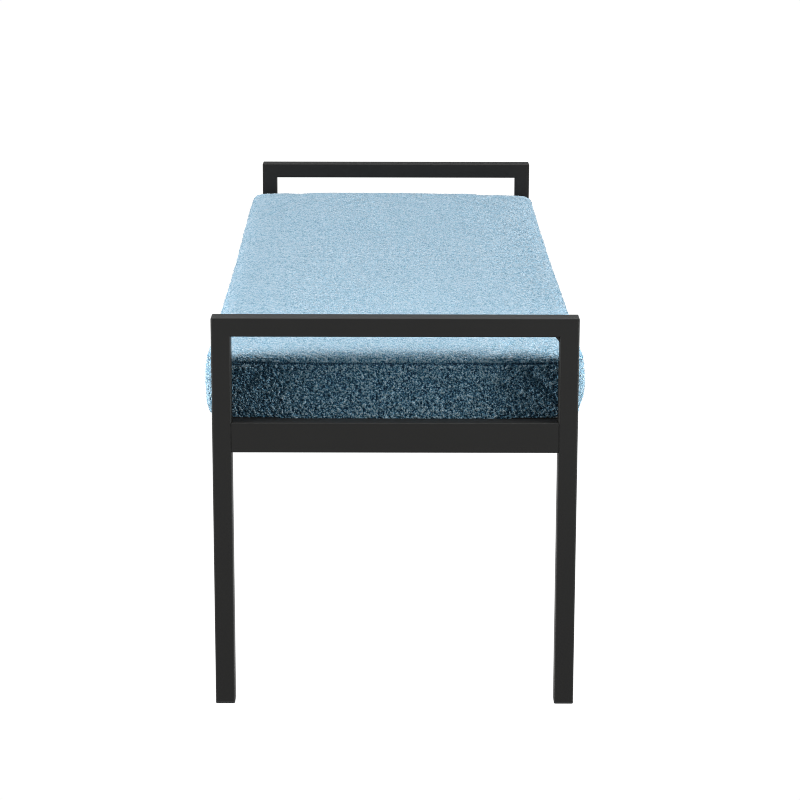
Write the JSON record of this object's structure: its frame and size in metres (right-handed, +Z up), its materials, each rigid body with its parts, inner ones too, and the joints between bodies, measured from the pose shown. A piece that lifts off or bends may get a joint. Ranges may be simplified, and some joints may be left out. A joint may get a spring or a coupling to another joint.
{
  "type": "entryway bench",
  "caption": "Backless entryway bench: long padded boucle seat on a black square-tube frame, with a raised rail across each end.",
  "frame": {"origin": "on the floor, under the middle of the bench", "axes": "+X along the seat towards the right end, +Y across it towards the back, +Z up; right and left are as seen from the front"},
  "size_m": [1.25, 0.493, 0.52],
  "materials": {
    "frame_paint": "satin",
    "foot_plastic": "matte",
    "zinc_steel": "satin",
    "plywood": "matte",
    "seat_foam": "matte",
    "batting_fibre": "matte",
    "boucle_cloth": "matte",
    "dust_cloth": "matte"
  },
  "bodies": {
    "root": {"right_front_leg": "frame_paint", "right_back_leg": "frame_paint", "left_front_leg": "frame_paint", "left_back_leg": "frame_paint", "right_top_rail": "frame_paint", "left_top_rail": "frame_paint", "right_seat_rail": "frame_paint", "left_seat_rail": "frame_paint", "right_frame_welds": "frame_paint", "left_frame_welds": "frame_paint", "seat_frame_welds": "frame_paint", "front_side_rail": "frame_paint", "back_side_rail": "frame_paint", "right_front_end_plate": "frame_paint", "right_back_end_plate": "frame_paint", "left_front_end_plate": "frame_paint", "left_back_end_plate": "frame_paint", "left_bearer": "frame_paint", "middle_bearer": "frame_paint", "right_bearer": "frame_paint", "right_front_foot": "foot_plastic", "right_back_foot": "foot_plastic", "left_front_foot": "foot_plastic", "left_back_foot": "foot_plastic", "frame_bolts": "zinc_steel", "frame_washers": "zinc_steel", "rivet_nuts": "zinc_steel", "seat_bolts": "zinc_steel", "seat_washers": "zinc_steel", "tee_nuts": "zinc_steel", "staples": "zinc_steel", "seat_board": "plywood", "foam_core": "seat_foam", "batting": "batting_fibre", "cover_top_panel": "boucle_cloth", "cover_band": "boucle_cloth", "dust_cover": "dust_cloth"}
  },
  "joints": []
}
